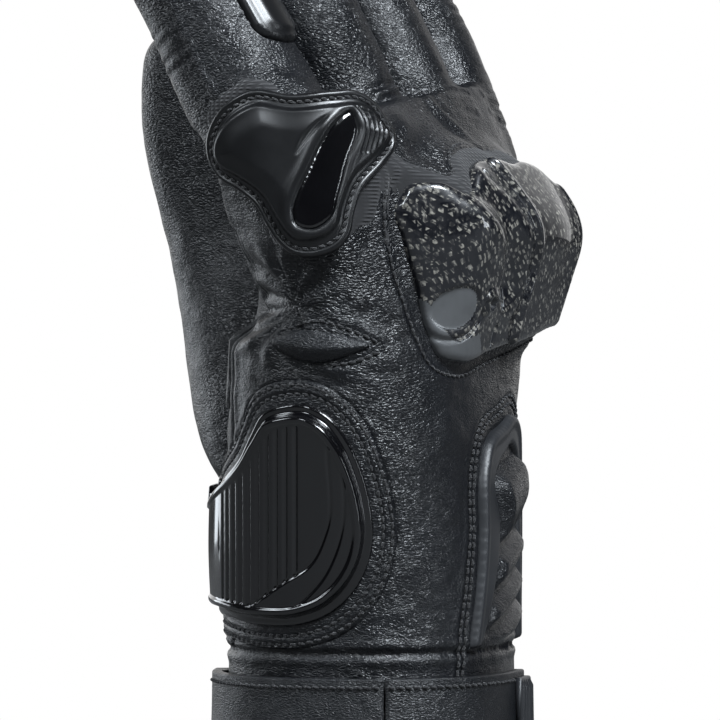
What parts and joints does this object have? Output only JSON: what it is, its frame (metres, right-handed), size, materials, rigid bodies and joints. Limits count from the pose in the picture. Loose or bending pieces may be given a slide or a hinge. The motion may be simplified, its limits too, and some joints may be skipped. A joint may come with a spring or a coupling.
{
  "type": "motorcycle riding glove",
  "caption": "Left-hand short-cuff motorcycle riding glove with moulded knuckle guard, side slider, knuckle plate and wrist strap.",
  "frame": {"origin": "centre of the cuff opening, on the plane that the cuff's rim stands on", "axes": "+Z from the cuff to the fingertips, -Y out of the back of the hand, +X towards the thumb side"},
  "size_m": [0.116, 0.1187, 0.2385],
  "materials": {
    "shell_leather": "semi-matt black goatskin",
    "palm_leather": "matt black goatskin",
    "binding_leather": "semi-matt black",
    "strap_leather": "semi-matt black",
    "liner_fabric": "matt black knit",
    "gloss_moulding": "polished black",
    "satin_moulding": "satin black",
    "matte_moulding": "matt dark grey",
    "carbon_shell": "clear-coated carbon weave",
    "foam": "matt foam",
    "closure_tape": "hook and loop tape",
    "webbing": "woven tape"
  },
  "bodies": {
    "glove": {"back_panel": "shell_leather", "palm_panel": "palm_leather", "cuff_panel": "shell_leather", "cuff_binding": "binding_leather", "hand_liner": "liner_fabric", "digit_liners": "liner_fabric", "pinky_stall": "shell_leather", "ring_stall": "shell_leather", "middle_stall": "shell_leather", "index_stall": "shell_leather", "thumb_stall": "shell_leather", "palm_patch": "palm_leather", "wrist_slider": "gloss_moulding", "slider_welt": "shell_leather", "side_plate": "satin_moulding", "plate_inlay": "gloss_moulding", "plate_pad": "foam", "knuckle_guard": "carbon_shell", "guard_pad": "foam", "guard_welt": "shell_leather", "stretch_frame": "matte_moulding", "stretch_rolls": "shell_leather", "side_pleat": "shell_leather", "finger_caps": "satin_moulding", "strap_anchor": "strap_leather", "cuff_loop_tape": "closure_tape", "pull_loop": "webbing"},
    "strap_base": {"strap_base": "strap_leather"},
    "strap_end": {"strap_end": "strap_leather", "strap_hook_tape": "closure_tape", "pull_tab": "matte_moulding"}
  },
  "joints": [
    {"name": "strap_root_hinge", "type": "hinge", "parent": "glove", "child": "strap_base", "pos_m": [-0.0279, 0.02862, 0.02], "axis": [-0.0078, 0.008, -0.9999], "range_deg": [0, 75]},
    {"name": "strap_peel_hinge", "type": "hinge", "parent": "strap_base", "child": "strap_end", "pos_m": [-0.04109, -0.0221, 0.02], "axis": [-0.0462, -0.0248, -0.9986], "range_deg": [0, 60]}
  ]
}
